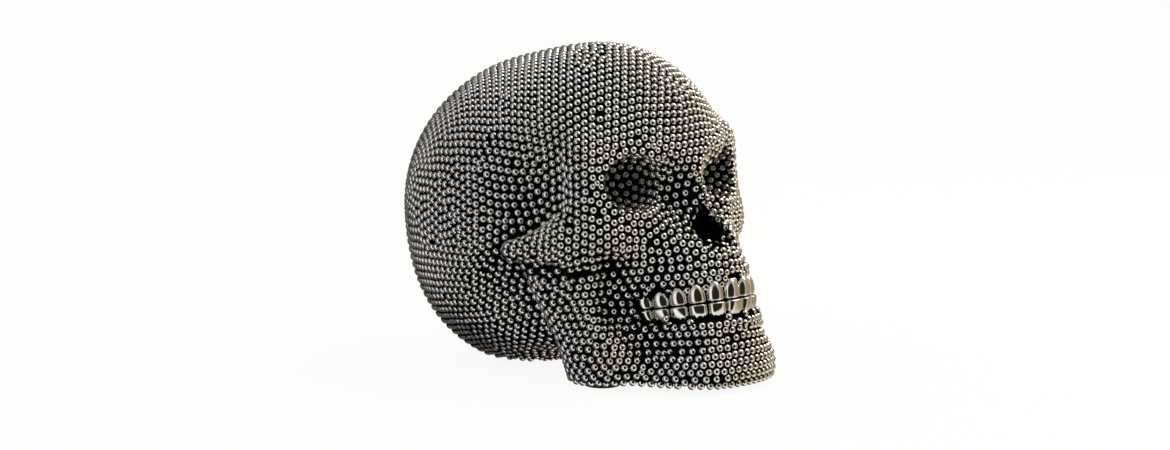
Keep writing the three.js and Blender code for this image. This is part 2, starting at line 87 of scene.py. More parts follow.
to_camera = np.array([
    np.sin(VIEW_TURN) * np.cos(VIEW_RISE),
    -np.cos(VIEW_TURN) * np.cos(VIEW_RISE),
    np.sin(VIEW_RISE),
])
target = np.array([0.0, FORM_SHIFT[1], VIEW_HEIGHT])
camera_data = bpy.data.cameras.new("picture_camera")
camera_data.sensor_width = SENSOR_WIDTH
camera_data.lens = PIXELS_PER_MM * VIEW_DISTANCE * SENSOR_WIDTH / PICTURE_WIDTH
camera_data.shift_x = -TARGET_RIGHT_PIXELS / PICTURE_WIDTH
camera_data.shift_y = -TARGET_UP_PIXELS / PICTURE_WIDTH
camera = bpy.data.objects.new("picture_camera", camera_data)
camera.location = Vector((target + VIEW_DISTANCE * to_camera) * MM)
camera.rotation_euler = Vector(-to_camera).to_track_quat("-Z", "Y").to_euler()
bpy.context.scene.collection.objects.link(camera)
bpy.context.scene.camera = camera
print("lens", round(camera_data.lens, 1), "mm, form shifted by", FORM_SHIFT.round(3), "mm")

# %% [markdown]
# ## The form of the skull
# A skull is easiest to write as distances. An egg or a round bar gives each point of space its distance
# to the surface, and a soft minimum joins two of them with a fillet, as clay would. The same eggs and
# bars make the CAD part, so the dressed skull keeps its sizes. All points are rows of an array, in
# millimetres.

# %% Join, cut, egg and bar
def join(a, b, blend):
    """Union of two distances with a fillet: the smaller one, lowered where they are closer than blend."""
    near = np.maximum(blend - np.abs(a - b), 0) / blend
    return np.minimum(a, b) - near * near * blend / 4


def cut(a, b, blend):
    """Distance a with b taken out of it, with a fillet."""
    return -join(-a, b, blend)


def egg(p, centre, half):
    """Distance to an ellipsoid: k (k - 1) / |gradient of k|, where k is the radius in half sizes."""
    offset = p - np.asarray(centre, float)
    half = np.asarray(half, float)
    in_halves = np.linalg.norm(offset / half, axis=1)
    slope = np.linalg.norm(offset / half ** 2, axis=1)
    return in_halves * (in_halves - 1) / np.maximum(slope, 1e-6)


def bar(p, start, end, start_radius, end_radius):
    """Distance to a round bar: the distance to its line, less a radius that changes along it."""
    start = np.asarray(start, float)
    along = np.asarray(end, float) - start
    share = np.clip((p - start) @ along / (along @ along), 0, 1)
    away = np.linalg.norm(p - start - share[:, None] * along, axis=1)
    return away - (start_radius + (end_radius - start_radius) * share)


def mirrored(p):
    """The same points with x made positive, because the skull is alike on both sides."""
    return np.column_stack([np.abs(p[:, 0]), p[:, 1:]])


# %% The bite and the arch of teeth
BITE_FRONT_Y = -70.5
BITE_FRONT_Z = 35.8
BITE_TILT = np.radians(9.65)
BITE_REACH = 57.0
ARCH_HALF_WIDTH = 25.5
ARCH_LENGTH = 33.5
TEETH_PER_SIDE = 6
ARCH_SAMPLES = 600
TOOTH_DEPTH = 4.2
TOOTH_GAP = 0.3
SEAM_GAP = 0.4
UPPER_CROWN_FRONT = 7.4
UPPER_CROWN_REAR = 5.4
LOWER_CROWN = 5.9
UPPER_ARCH = (0.3, 2.0)
LOWER_ARCH = (0.45, 3.0)
ARCH_ROUNDNESS = 0.55
GUM_INSET = 0.6
GUM_STRAIGHT = 11.5
GUM_SLOPE = 0.9
GUM_HEIGHT = 17.0
GUM_BLEND = 7.0
BAND_REACH = 4.0
BAND_EDGE = 1.2


def over_bite(p):
    """Height over the tilted plane between the rows of teeth."""
    return (p[:, 1] - BITE_FRONT_Y) * np.sin(BITE_TILT) + (p[:, 2] - BITE_FRONT_Z) * np.cos(BITE_TILT)


def way_back(p):
    """Way back along that plane from the front of the tooth arch."""
    return (p[:, 1] - BITE_FRONT_Y) * np.cos(BITE_TILT) - (p[:, 2] - BITE_FRONT_Z) * np.sin(BITE_TILT)


def outside_arch(p, inset):
    """Distance outside the half ellipse of the tooth arch, drawn in by an inset."""
    half_width = ARCH_HALF_WIDTH - inset
    length = ARCH_LENGTH - inset
    back = np.minimum(way_back(p) - ARCH_LENGTH, 0)
    in_halves = np.hypot(p[:, 0] / half_width, back / length)
    slope = np.hypot(p[:, 0] / half_width ** 2, back / length ** 2)
    return in_halves * (in_halves - 1) / np.maximum(slope, 1e-6)


def upper_crown(back):
    """Height of an upper crown, from the front teeth to the rear ones."""
    share = np.clip(back / ARCH_LENGTH, 0, 1)
    return UPPER_CROWN_FRONT + (UPPER_CROWN_REAR - UPPER_CROWN_FRONT) * share


def crown_arch(t, arch_from, arch_power):
    """Width share at height share t: (1 - s^arch_power)^ARCH_ROUNDNESS, s from 0 to 1 above arch_from."""
    return (1 - (np.maximum(t - arch_from, 0) / (1 - arch_from)) ** arch_power) ** ARCH_ROUNDNESS


def gum(p):
    """Horseshoe of resin on both sides of the bite that carries the teeth."""
    height = np.abs(over_bite(p))
    side = outside_arch(p, GUM_INSET) + GUM_SLOPE * np.maximum(height - GUM_STRAIGHT, 0)
    return np.maximum.reduce([side, height - GUM_HEIGHT, way_back(p) - ARCH_LENGTH])


def tooth_band(p):
    """Room in front of the gum that the two rows of crowns take."""
    height = over_bite(p)
    back = way_back(p)
    above = height - upper_crown(back) + BAND_EDGE / 2
    below = -height - LOWER_CROWN + BAND_EDGE / 2
    inner = -outside_arch(p, GUM_INSET)
    outer = outside_arch(p, -BAND_REACH)
    return np.maximum.reduce([above, below, inner, outer, back - ARCH_LENGTH])


def tooth_places():
    """Place, turn and pitch of each tooth of one side, at equal lengths along the arch's middle line."""
    angle = np.linspace(0, np.pi / 2, ARCH_SAMPLES)
    x = (ARCH_HALF_WIDTH - TOOTH_DEPTH / 2) * np.sin(angle)
    back = ARCH_LENGTH - (ARCH_LENGTH - TOOTH_DEPTH / 2) * np.cos(angle)
    length = np.append(0, np.cumsum(np.hypot(np.diff(x), np.diff(back))))
    pitch = length[-1] / TEETH_PER_SIDE
    at = pitch * (np.arange(TEETH_PER_SIDE) + 0.5)
    turn = np.arctan2(np.gradient(back, length), np.gradient(x, length))
    return np.interp(at, length, x), np.interp(at, length, back), np.interp(at, length, turn), pitch


place_x, place_back, place_turn, tooth_pitch = tooth_places()
print("teeth stand", round(float(tooth_pitch), 2), "mm apart along the arch")

# %% Hollows of the face
NOSE_BLEND = 3.0
GROOVE_BLEND = 9.0
SOCKET_CENTRE = (27, -35, 80.5)
SOCKET_HALF = (12.5, 14.5, 11)
NOSTRIL_CENTRE = (4.5, -59, 60.5)
NOSTRIL_HALF = (5, 12, 6)
NOSE_SLOT_CENTRE = (0, -57, 65)
NOSE_SLOT_HALF = (4, 10, 7)


def face_hollows(p):
    """Distance to the eye sockets and the pear-shaped nose opening."""
    nose = join(egg(p, NOSTRIL_CENTRE, NOSTRIL_HALF), egg(p, NOSE_SLOT_CENTRE, NOSE_SLOT_HALF), NOSE_BLEND)
    return egg(p, SOCKET_CENTRE, SOCKET_HALF), nose


def groove(p):
    """Distance to the groove that runs down in front of a branch and on under the teeth."""
    upper = bar(p, (38.5, -36.5, 47), (38, -40, 32), 4, 4)
    middle = bar(p, (38, -40, 32), (34, -50, 21), 4, 3)
    lower = bar(p, (34, -50, 21), (25, -65, 20), 3, 2)
    return join(join(upper, middle, GROOVE_BLEND), lower, GROOVE_BLEND)


def arch_gap(p):
    """Distance to the narrow gap between the cheekbone's arch and the branch of the jaw below it."""
    rear = bar(p, (56, -7, 47.5), (53, -21, 47), 2.6, 2.6)
    return np.minimum(rear, bar(p, (53, -21, 47), (46.5, -31.5, 47), 2.6, 1.2))


print("sockets are", 2 * SOCKET_HALF[0], "mm wide and", 2 * SOCKET_HALF[2], "mm high")

# %% Cranium with its face
FLOOR_CLEARANCE = 1.5
FOOT_EDGE = 1.5
BRAINCASE_BLEND = 15.0
HOLLOW_BLEND = 12.0
FACE_BLEND = 10.0
RIDGE_BLEND = 10.0
SOCKET_BLEND = 4.0
ARCH_BLEND = 5.0
ARCH_GAP_BLEND = 3.0
NOSE_SIDE_CENTRE = (13.5, -54, 77)
NOSE_SIDE_HALF = (10, 13.5, 11)
NOSE_SIDE_BLEND = 10.0
CHEEKBONE_RADIUS = 7.5


def cranium(points):
    """Distance to the cranium: braincase eggs, pressed hollows, face eggs, ridges, sockets and nose."""
    p = mirrored(points)
    d = egg(p, (0, 20, 65), (62, 71, 64))
    d = join(d, egg(p, (0, LOW_BACK_Y, 40), (48, 46, 41)), BRAINCASE_BLEND)
    d = join(d, egg(p, (0, -3, 79), (49, 43, 52)), BRAINCASE_BLEND)
    temple = egg(p, (68, -14, 75), (23, 25, 31))
    jaw_room = egg(p, (70, -14, 26), (32, 34, 32))
    base_arch = egg(p, (0, -6, -2), (80, 19, 10))
    for hollow in (temple, jaw_room, base_arch):
        d = cut(d, hollow, HOLLOW_BLEND)
    d = join(d, egg(p, (0, -13, 68), (38, 27, 38)), FACE_BLEND)
    d = join(d, egg(p, (0, -36.5, 48), (25, 28.5, 24)), FACE_BLEND)
    d = join(d, egg(p, (24, -26, 46), (18, 18, 20)), FACE_BLEND)
    d = join(d, gum(p), GUM_BLEND)
    brow = bar(p, (12, -35, 93), (36, -27, 92), 5.2, 5.2)
    rim = bar(p, (41, -25, 92), (43, -27, 66), 5.8, 5.8)
    cheekbone = bar(p, (35, -33, 60), (49, -19, 58), CHEEKBONE_RADIUS, CHEEKBONE_RADIUS)
    zygoma = bar(p, (49, -19, 58), (57.5, -1, 54), CHEEKBONE_RADIUS, 4.5)
    nose_bone = bar(p, (0, -30, 91), (0, -49, 73), 4.5, 4.5)
    for ridge in (brow, rim, cheekbone, nose_bone):
        d = join(d, ridge, RIDGE_BLEND)
    d = join(d, zygoma, ARCH_BLEND)
    d = cut(d, egg(p, NOSE_SIDE_CENTRE, NOSE_SIDE_HALF), NOSE_SIDE_BLEND)
    socket, nose = face_hollows(p)
    d = cut(d, groove(p), GROOVE_BLEND)
    d = cut(d, arch_gap(p), ARCH_GAP_BLEND)
    d = cut(d, socket, SOCKET_BLEND)
    d = cut(d, nose, NOSE_BLEND)
    return cut(d, p[:, 2] - FLOOR_CLEARANCE, FOOT_EDGE)


# %% Lower jaw with its branches
JAW_BLEND = 11.0
BRANCH_FOOT_RADIUS = 8.0
BRANCH_TOP_RADIUS = 6.6


def lower_jaw(points):
    """Distance to the lower jaw: body and chin eggs, edge and gum bars, and three bars for a branch."""
    p = mirrored(points)
    d = egg(p, (0, -40, 16), (30, 33, 30))
    d = join(d, egg(p, (0, -60, 6), (22, 17, 13)), JAW_BLEND)
    d = join(d, bar(p, (13, -60, 7), (32, -26, 7), 11, 11), JAW_BLEND)
    d = join(d, bar(p, (10, -54, 27), (25, -34, 26), 10, 8), JAW_BLEND)
    d = join(d, gum(p), GUM_BLEND)
    d = np.maximum(d, over_bite(p) + SEAM_GAP / 2)
    rear = bar(p, (36, -24, 6), (49, -7, 48), BRANCH_FOOT_RADIUS, BRANCH_TOP_RADIUS)
    middle = bar(p, (35, -33, 12), (46, -20, 49), BRANCH_FOOT_RADIUS, BRANCH_TOP_RADIUS)
    front = bar(p, (31, -38, 18), (38, -29, 46), BRANCH_FOOT_RADIUS, BRANCH_TOP_RADIUS)
    branch = join(join(rear, middle, JAW_BLEND), front, JAW_BLEND)
    d = cut(join(d, branch, JAW_BLEND), groove(p), GROOVE_BLEND)
    d = cut(d, arch_gap(p), ARCH_GAP_BLEND)
    return cut(d, p[:, 2] - FLOOR_CLEARANCE, FOOT_EDGE)


# %% The whole head
HEAD_BLEND = 4.0
FLATTEST = 0.05


def head(p):
    """Distance to cranium and jaw together, with the room of the crowns taken out."""
    return cut(join(cranium(p), lower_jaw(p), HEAD_BLEND), tooth_band(p), BAND_EDGE)


def slope_of(form, p, reach=0.2):
    """Gradient of a form from four probes on the corners of a small tetrahedron."""
    corners = np.array([[1, -1, -1], [-1, -1, 1], [-1, 1, -1], [1, 1, 1]], float)
    return sum(corner * form(p + reach * corner)[:, None] for corner in corners) / (4 * reach)


def normal_of(form, p):
    """Gradient of a form, made one long."""
    slope = slope_of(form, p)
    return slope / np.linalg.norm(slope, axis=1)[:, None]


def onto(form, p, level, steps=2):
    """Points moved along the gradient until the form has the given value there, by Newton's rule."""
    for _ in range(steps):
        slope = slope_of(form, p)
        size = np.maximum((slope ** 2).sum(1), FLATTEST)
        p = p - slope * ((form(p) - level) / size)[:, None]
    return p


print("head is", round(float(head(np.array([[0.0, 0.0, 60.0]]))[0]), 1), "mm at a point inside it")

# %% [markdown]
# ## From distances to a mesh
# A grid of distances becomes a mesh by surface nets: each grid cell that holds both signs gets one point,
# which slides onto the surface, and each grid edge that crosses the surface gets one four-sided face
# between the cells around it. This meets the deep sockets and the branches alike, which one pair of
# angles can't reach from inside the head.

# %% Surface nets
def surface_net(form, level, low, high, step):
    """Vertices and four-sided faces of the surface where the form equals level, on a grid of that step."""
    axes = [np.arange(a, b + step, step) for a, b in zip(low, high)]
    grid = np.stack(np.meshgrid(*axes, indexing="ij"), -1)
    inside = (form(grid.reshape(-1, 3)) < level).reshape(grid.shape[:3])
    filled = sum(
        inside[i:i - 1 or None, j:j - 1 or None, k:k - 1 or None].astype(int)
        for i in (0, 1) for j in (0, 1) for k in (0, 1)
    )
    mixed = (filled > 0) & (filled < 8)
    number = np.full(mixed.shape, -1)
    number[mixed] = np.arange(mixed.sum())
    vertices = onto(form, (np.argwhere(mixed) + 0.5) * step + np.asarray(low, float), level, steps=3)
    faces = []
    for axis in range(3):
        before = np.moveaxis(inside, axis, 0)[:-1]
        after = np.moveaxis(inside, axis, 0)[1:]
        edge = np.argwhere(np.moveaxis(before != after, 0, axis))
        right = np.eye(3, dtype=int)[(axis + 1) % 3]
        up = np.eye(3, dtype=int)[(axis + 2) % 3]
        ring = [edge - right - up, edge - up, edge, edge - right]
        quad = np.column_stack([number[tuple(cell.T)] for cell in ring])
        leaves = inside[tuple(edge.T)]
        faces.append(np.where(leaves[:, None], quad, quad[:, ::-1]))
    return vertices, np.concatenate(faces)


# %% Faces of stacked rings, and a piece from its mesh
def stacked_faces(rings, sides):
    """Faces of a top pole, rings below it and a bottom pole: triangles at the poles, quads between rings."""
    at = np.arange(sides)
    after = (at + 1) % sides
    start = 1 + sides * np.arange(rings)
    cap = np.column_stack([np.zeros_like(at), start[0] + at, start[0] + after])
    foot = np.column_stack([np.full_like(at, 1 + sides * rings), start[-1] + after, start[-1] + at])
    bands = [np.column_stack([a + at, b + at, b + after, a + after]) for a, b in zip(start[:-1], start[1:])]
    return np.concatenate([cap, foot]), np.concatenate(bands)


def keep_on_points(piece, name, values):
    """Stores a number on each point of a piece, which its finish reads under that name."""
    kept_values = piece.data.attributes.new(name, "FLOAT", "POINT")
    kept_values.data.foreach_set("value", values.ravel().astype(np.float32))


def mesh_piece(name, vertices, faces, material):
    """Object at the origin from vertices in form millimetres and faces; smooth, and riding on the root."""
    mesh = bpy.data.meshes.new(name)
    mesh.from_pydata((vertices + FORM_SHIFT) * MM, [], faces)
    mesh.polygons.foreach_set("use_smooth", np.ones(len(mesh.polygons), bool))
    mesh.materials.append(material)
    mesh.update()
    piece = bpy.data.objects.new(name, mesh)
    bpy.context.scene.collection.objects.link(piece)
    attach(piece, "root")
    print(name, "has", len(vertices), "points and", len(mesh.polygons), "faces")
    return piece


# %% [markdown]
# ## Finishes
# The metal is an antique finish: bright where hands and polish reach, black where the wash stays in the
# grooves. One node group does this for the studs, the ground and the teeth. It takes how high a point
# stands out of its groove and a tone that differs from stud to stud, and puts out colour and roughness.

# %% Node helpers
def new_material(name):
    """Material with a Principled shader, its tree and that shader's node."""
    material = bpy.data.materials.new(name)
    material.use_nodes = True
    return material, material.node_tree, material.node_tree.nodes["Principled BSDF"]


def add_node(tree, kind, **values):
    """Node of a kind, with the inputs named in values set."""
    node = tree.nodes.new(kind)
    for name, value in values.items():
        node.inputs[name.replace("_", " ")].default_value = value
    return node


def mix_colour(tree, factor, first, second):
    """Colour between two, each a socket or a fixed colour, by a factor socket."""
    node = tree.nodes.new("ShaderNodeMix")
    node.data_type = "RGBA"
    tree.links.new(factor, node.inputs["Factor"])
    for socket, value in ((node.inputs[6], first), (node.inputs[7], second)):
        if isinstance(value, tuple):
            socket.default_value = value
        else:
            tree.links.new(value, socket)
    return node.outputs[2]


def ramp(tree, value, from_min, from_max, to_min, to_max):
    """Smooth change from one value to another as the input passes a range."""
    node = add_node(tree, "ShaderNodeMapRange", From_Min=from_min, From_Max=from_max,
                    To_Min=to_min, To_Max=to_max)
    node.interpolation_type = "SMOOTHSTEP"
    tree.links.new(value, node.inputs["Value"])
    return node.outputs["Result"]


def noise(tree, scale, detail, coordinates):
    """Value of a noise texture at given coordinates."""
    node = add_node(tree, "ShaderNodeTexNoise", Scale=scale, Detail=detail)
    tree.links.new(coordinates, node.inputs["Vector"])
    return node.outputs["Fac"]


def maths(tree, operation, *values):
    """Result of one arithmetic step on values, each a socket or a fixed number."""
    node = tree.nodes.new("ShaderNodeMath")
    node.operation = operation
    for socket, value in zip(node.inputs, values):
        if isinstance(value, float):
            socket.default_value = value
        else:
            tree.links.new(value, socket)
    return node.outputs[0]


def mix_shader(tree, factor, first, second):
    """Shader node between two others, by a factor socket."""
    node = tree.nodes.new("ShaderNodeMixShader")
    for socket, given in zip(node.inputs, (factor, first.outputs[0], second.outputs[0])):
        tree.links.new(given, socket)
    return node


def own_place(tree):
    """Place of a point on its piece, in metres."""
    return tree.nodes.new("ShaderNodeTexCoord").outputs["Object"]


def bump(tree, shader, height, strength, depth):
    """Makes a shader's surface uneven by a height socket, with a strength and a depth in metres."""
    node = add_node(tree, "ShaderNodeBump", Strength=strength, Distance=depth)
    tree.links.new(height, node.inputs["Height"])
    tree.links.new(node.outputs["Normal"], shader.inputs["Normal"])


def attribute(tree, name):
    """Value of a mesh attribute."""
    node = tree.nodes.new("ShaderNodeAttribute")
    node.attribute_name = name
    return node.outputs["Fac"]


# %% The antique finish as a node group
# A noise is its scale per metre and detail, a ramp the range of its input and the range it puts out
PATCH_NOISE = (38.0, 3.0)
PATCH_RAMP = (0.4, 0.65, 0.0, 0.55)
TONE_SHARE = 0.5
RAGGED_NOISE = (900.0, 2.0)
RAGGED_RAMP = (0.3, 0.7, -0.1, 0.1)
CLEAN_RAMP = (0.38, 0.55, 0.0, 1.0)
POLISH_RAMP = (0.3, 0.6, 0.5, 0.08)


def antique_group():
    """Group: colour and roughness of aged plating from height over the groove and a tone of its own."""
    tree = bpy.data.node_groups.new("antique_plating", "ShaderNodeTree")
    for name, kind in (("Height", "NodeSocketFloat"), ("Tone", "NodeSocketFloat"),
                       ("Cool Metal", "NodeSocketColor"), ("Warm Metal", "NodeSocketColor"),
                       ("Black Wash", "NodeSocketColor")):
        tree.interface.new_socket(name, in_out="INPUT", socket_type=kind)
    for name, kind in (("Colour", "NodeSocketColor"), ("Roughness", "NodeSocketFloat")):
        tree.interface.new_socket(name, in_out="OUTPUT", socket_type=kind)
    given = tree.nodes.new("NodeGroupInput").outputs
    put_out = tree.nodes.new("NodeGroupOutput").inputs
    place = own_place(tree)
    patches = ramp(tree, noise(tree, *PATCH_NOISE, place), *PATCH_RAMP)
    warm = maths(tree, "MULTIPLY_ADD", given["Tone"], TONE_SHARE, patches)
    warm.node.use_clamp = True
    metal = mix_colour(tree, warm, given["Cool Metal"], given["Warm Metal"])
    uneven = ramp(tree, noise(tree, *RAGGED_NOISE, place), *RAGGED_RAMP)
    ragged = maths(tree, "ADD", given["Height"], uneven)
    clean = ramp(tree, ragged, *CLEAN_RAMP)
    tree.links.new(mix_colour(tree, clean, given["Black Wash"], metal), put_out["Colour"])
    tree.links.new(ramp(tree, ragged, *POLISH_RAMP), put_out["Roughness"])
    return tree


ANTIQUE = antique_group()
BLACK_WASH = (0.006, 0.005, 0.004, 1)
COOL_SILVER = (0.93, 0.91, 0.885, 1)
WARM_SILVER = (0.93, 0.865, 0.78, 1)


def antique_metal(tree, shader, height, tone, cool, warm):
    """Antique group in a material, with its colour on the metal shader; returns the group's node."""
    node = tree.nodes.new("ShaderNodeGroup")
    node.node_tree = ANTIQUE
    tree.links.new(height, node.inputs["Height"])
    tree.links.new(tone, node.inputs["Tone"])
    node.inputs["Cool Metal"].default_value = cool
    node.inputs["Warm Metal"].default_value = warm
    node.inputs["Black Wash"].default_value = BLACK_WASH
    tree.links.new(node.outputs["Colour"], shader.inputs["Base Color"])
    shader.inputs["Metallic"].default_value = 1.0
    return node


# %% Finish of the studs
def stud_finish():
    """Polished studs with a black foot; height and tone come from the studs' attributes, the height lowered
    by painted shade.
    """
    material, tree, shader = new_material("antique_silver_studs")
    height = attribute(tree, "height")
    tone = attribute(tree, "tone")
    aged = antique_metal(tree, shader, height, tone, COOL_SILVER, WARM_SILVER)
    tree.links.new(aged.outputs["Roughness"], shader.inputs["Roughness"])
    return material


# %% Finish of the ground between the studs
RUBBED_NOISE = (420.0, 3.0)
RUBBED_RAMP = (0.55, 0.8, -0.1, 0.08)
GROUND_TONE_NOISE = (90.0, 1.0)
CAST_NOISE = (700.0, 2.0)


def ground_finish():
    """Blackened ground: the wash, with a few rubbed specks where a noise stands high."""
    material, tree, shader = new_material("blackened_ground")
    place = own_place(tree)
    rubbed = ramp(tree, noise(tree, *RUBBED_NOISE, place), *RUBBED_RAMP)
    tone = noise(tree, *GROUND_TONE_NOISE, place)
    aged = antique_metal(tree, shader, rubbed, tone, COOL_SILVER, WARM_SILVER)
    tree.links.new(aged.outputs["Roughness"], shader.inputs["Roughness"])
    bump(tree, shader, noise(tree, *CAST_NOISE, place), strength=0.3, depth=0.0004)
    return material


# %% Finish of the teeth
BRIGHT_SILVER = (0.86, 0.85, 0.83, 1)
HONEY_SILVER = (0.87, 0.82, 0.73, 1)
TOOTH_TONE_NOISE = (55.0, 2.0)
SMEAR_NOISE = (260.0, 4.0)
SMEAR_RAMP = (0.35, 0.75, 0.04, 0.13)
RIPPLE_NOISE = (150.0, 1.0)


def tooth_finish():
    """Mirror plating with faint smears, and the black wash only in the line along the gum."""
    material, tree, shader = new_material("polished_teeth")
    place = own_place(tree)
    tone = noise(tree, *TOOTH_TONE_NOISE, place)
    antique_metal(tree, shader, attribute(tree, "height"), tone, BRIGHT_SILVER, HONEY_SILVER)
    smears = ramp(tree, noise(tree, *SMEAR_NOISE, place), *SMEAR_RAMP)
    tree.links.new(smears, shader.inputs["Roughness"])
    bump(tree, shader, noise(tree, *RIPPLE_NOISE, place), strength=0.12, depth=0.0005)
    return material


# %% Finishes of the hidden pegs and the felt
CLOUD_NOISE = (120.0, 3.0)
RESIN_GREY = (0.34, 0.32, 0.29, 1)
RESIN_BEIGE = (0.5, 0.47, 0.42, 1)
RESIN_ROUGH = (0.3, 0.7, 0.5, 0.75)
FIBRE_STRETCH = (1.0, 6.0, 1.0)
FIBRE_NOISE = (900.0, 5.0)
FUZZ_NOISE = (2200.0, 3.0)
FELT_BLACK = (0.006, 0.006, 0.007, 1)
FELT_GREY = (0.05, 0.05, 0.054, 1)
FELT_ROUGH = (0.3, 0.7, 0.85, 1.0)
FELT_SHEEN = 0.4


def resin_finish():
    """Bare cast resin: grey-beige with cloudy patches, rougher where it is paler."""
    material, tree, shader = new_material("bare_cast_resin")
    place = own_place(tree)
    clouds = noise(tree, *CLOUD_NOISE, place)
    tree.links.new(mix_colour(tree, clouds, RESIN_GREY, RESIN_BEIGE), shader.inputs["Base Color"])
    tree.links.new(ramp(tree, clouds, *RESIN_ROUGH), shader.inputs["Roughness"])
    return material


def felt_finish():
    """Black felt: tangled fibres as two noises, one long and one fine, in colour and bump."""
    material, tree, shader = new_material("black_felt")
    place = own_place(tree)
    stretch = add_node(tree, "ShaderNodeMapping", Scale=FIBRE_STRETCH)
    tree.links.new(place, stretch.inputs["Vector"])
    fibres = noise(tree, *FIBRE_NOISE, stretch.outputs["Vector"])
    tree.links.new(mix_colour(tree, fibres, FELT_BLACK, FELT_GREY), shader.inputs["Base Color"])
    tree.links.new(ramp(tree, fibres, *FELT_ROUGH), shader.inputs["Roughness"])
    shader.inputs["Sheen Weight"].default_value = FELT_SHEEN
    bump(tree, shader, noise(tree, *FUZZ_NOISE, stretch.outputs["Vector"]), strength=0.6, depth=0.0005)
    return material


STUDS = stud_finish()
GROUND = ground_finish()
TEETH = tooth_finish()
RESIN = resin_finish()
FELT = felt_finish()
print("made", len(bpy.data.materials), "materials")

# %% [markdown]
# ## The blackened ground
# Under the studs lie the two castings. The cranium is a hollow shell with an open vent below, and the jaw
# is solid. The CAD surface runs over the tops of the studs, so the ground lies one stud height below it.

# %% Cranium shell and jaw body
STUD_RADIUS = 1.66
GROUND_DEPTH = 1.7
WALL = 5.0
VENT_RADIUS = 7.0
VENT_Y = 8.0
VENT_TOP = 70.0
NET_STEP = 2.0
NET_MARGIN = 4.0


def below_bite(p):
    """Distance to the room below the bite plane that the lower jaw fills."""
    return np.maximum(over_bite(p) - SEAM_GAP, way_back(p) - BITE_REACH)


def cranium_shell(p):
    """Cranium less its hollow inside, the vent, the jaw's room and the room of the crowns."""
    outer = cranium(p)
    inner = np.maximum.reduce([outer + WALL, WALL - below_bite(p), WALL - lower_jaw(p)])
    vent = np.maximum(np.hypot(p[:, 0], p[:, 1] - VENT_Y) - VENT_RADIUS, p[:, 2] - VENT_TOP)
    shell = np.maximum.reduce([outer, -inner, -below_bite(p)])
    return cut(np.maximum(shell, -vent), tooth_band(p), BAND_EDGE)


def jaw_body(p):
    """Lower jaw less the room of the crowns."""
    return cut(lower_jaw(p), tooth_band(p), BAND_EDGE)


def ground_piece(name, form, node):
    """Ground of one casting, a stud height inside the CAD surface, in place of the CAD node."""
    low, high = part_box(node)
    low = np.array(low) / MM - FORM_SHIFT - NET_MARGIN
    high = np.array(high) / MM - FORM_SHIFT + NET_MARGIN
    vertices, faces = surface_net(form, -GROUND_DEPTH, low, high, NET_STEP)
    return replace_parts(mesh_piece(name, vertices, faces.tolist(), GROUND), node)


ground_piece("cranium_ground", cranium_shell, "cranium_shell")
ground_piece("jaw_ground", jaw_body, "lower_jaw")

# %% [markdown]
# ## Where the studs stand
# The studs are packed like a honeycomb, in rows: upright ones over the head and cheeks, level ones on the
# jaw and low back that follow the bite, and circles round the sockets and the nose. They start from the
# points of a regular lattice near the skin and are dropped onto it. Then they push each other apart while
# each is drawn to its nearest row. Between the rounds, one of each crowded pair goes and a new stud is
# set in each hole, as a maker would do by hand.

# %% Rows and spacing
STUD_SPACING = 3.4
ROW_SPACING = 2.97
CROWN_CENTRE = np.array([0.0, 14.0, 64.0])
CROWN_RADIUS = 66.0
LEVEL_BELOW = 46.0
UPRIGHT_ABOVE = 60.0
RIM_NEAR = 3.0
RIM_FAR = 8.0
FOLLOW_TOP = 95
FACE_START = 5
FACE_FULL = 28
FACE_FULL_BELOW = 86
FACE_TOP = 108
LEAST_RISE = 0.3


def smooth_share(value, low, high):
    """Share from 0 to 1 as a value passes from low to high, with soft ends."""
    share = np.clip((value - low) / (high - low), 0, 1)
    return share * share * (3 - 2 * share)


def level_rows(p):
    """Height along the skin: latitude on the head, and lines along the bite on the face and jaw."""
    offset = p - CROWN_CENTRE
    latitude = np.arcsin(offset[:, 2] / np.linalg.norm(offset, axis=1))
    rings = CROWN_CENTRE[2] + CROWN_RADIUS * latitude
    follow = np.minimum(p[:, 2] / BITE_FRONT_Z,
                        (FOLLOW_TOP - p[:, 2]) / (FOLLOW_TOP - BITE_FRONT_Z)).clip(0, 1)
    lines = p[:, 2] + np.tan(BITE_TILT) * (p[:, 1] - BITE_FRONT_Y) * follow
    face = smooth_share(-p[:, 1], FACE_START, FACE_FULL) * smooth_share(-p[:, 2], -FACE_TOP, -FACE_FULL_BELOW)
    return rings + (lines - rings) * face


def upright_rows(p):
    """Latitude towards the cheek, whose levels are upright circles; alike on both sides of the head."""
    offset = mirrored(p) * [-1, 1, 1] - CROWN_CENTRE
    cheekward = np.array([np.cos(VIEW_TURN), np.sin(VIEW_TURN), 0.0])
    return CROWN_RADIUS * np.arcsin(offset @ cheekward / np.linalg.norm(offset, axis=1))


def rim_distance(p):
    """Distance to the nearest eye socket or to the nose opening."""
    return np.minimum(*face_hollows(mirrored(p)))


def way_to_row(field, p, normal):
    """Way along the skin to the nearest row, where the rows are levels of a field at equal steps."""
    rise = slope_of(field, p)
    rise -= normal * (rise * normal).sum(1)[:, None]
    row = field(p) / ROW_SPACING
    off_row = (np.round(row) - row) * ROW_SPACING
    return rise * (off_row / np.maximum((rise ** 2).sum(1), LEAST_RISE))[:, None]


# %% Neighbours push apart
MOST_IN_CELL = 8


